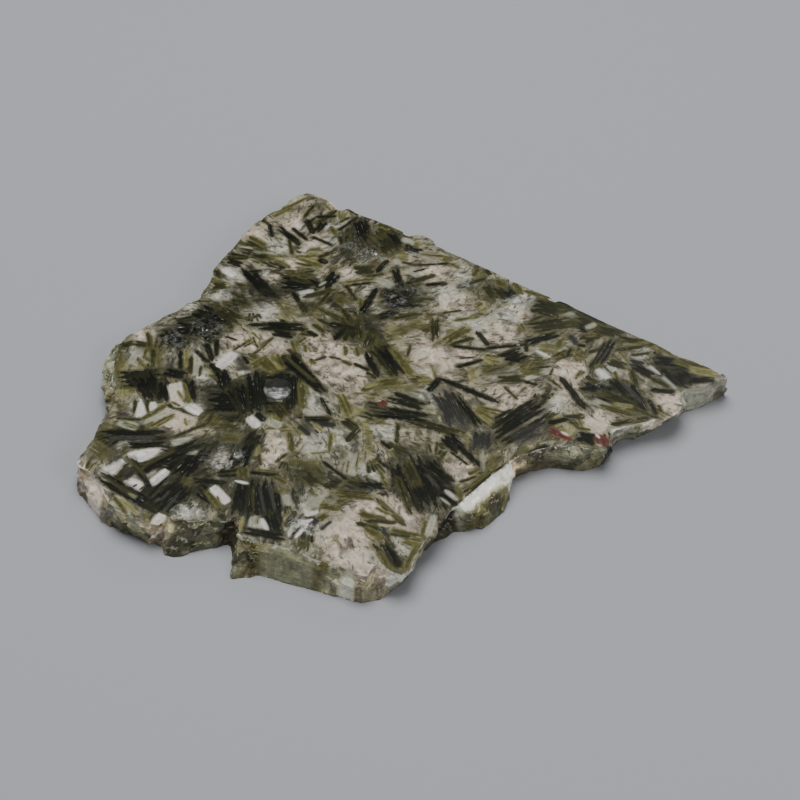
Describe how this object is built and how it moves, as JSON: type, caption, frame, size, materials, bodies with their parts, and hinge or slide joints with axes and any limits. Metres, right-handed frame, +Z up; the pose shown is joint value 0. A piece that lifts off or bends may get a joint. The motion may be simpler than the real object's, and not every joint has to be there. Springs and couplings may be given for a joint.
{
  "type": "polished mica slab",
  "caption": "Thin flat slab of mica-rich pegmatite with a polished face, a sawn underside, broken edges and one straight sawn side.",
  "frame": {"origin": "centre of the bounding box, at the sawn underside that the slab rests on", "axes": "+Z up out of the polished face, +X along the slab's longest side, towards its pointed corner"},
  "size_m": [0.19, 0.164, 0.009],
  "materials": {
    "stone": "polished above, sawn below, broken at the edges"
  },
  "bodies": {
    "root": {"slab": "stone"}
  },
  "joints": []
}
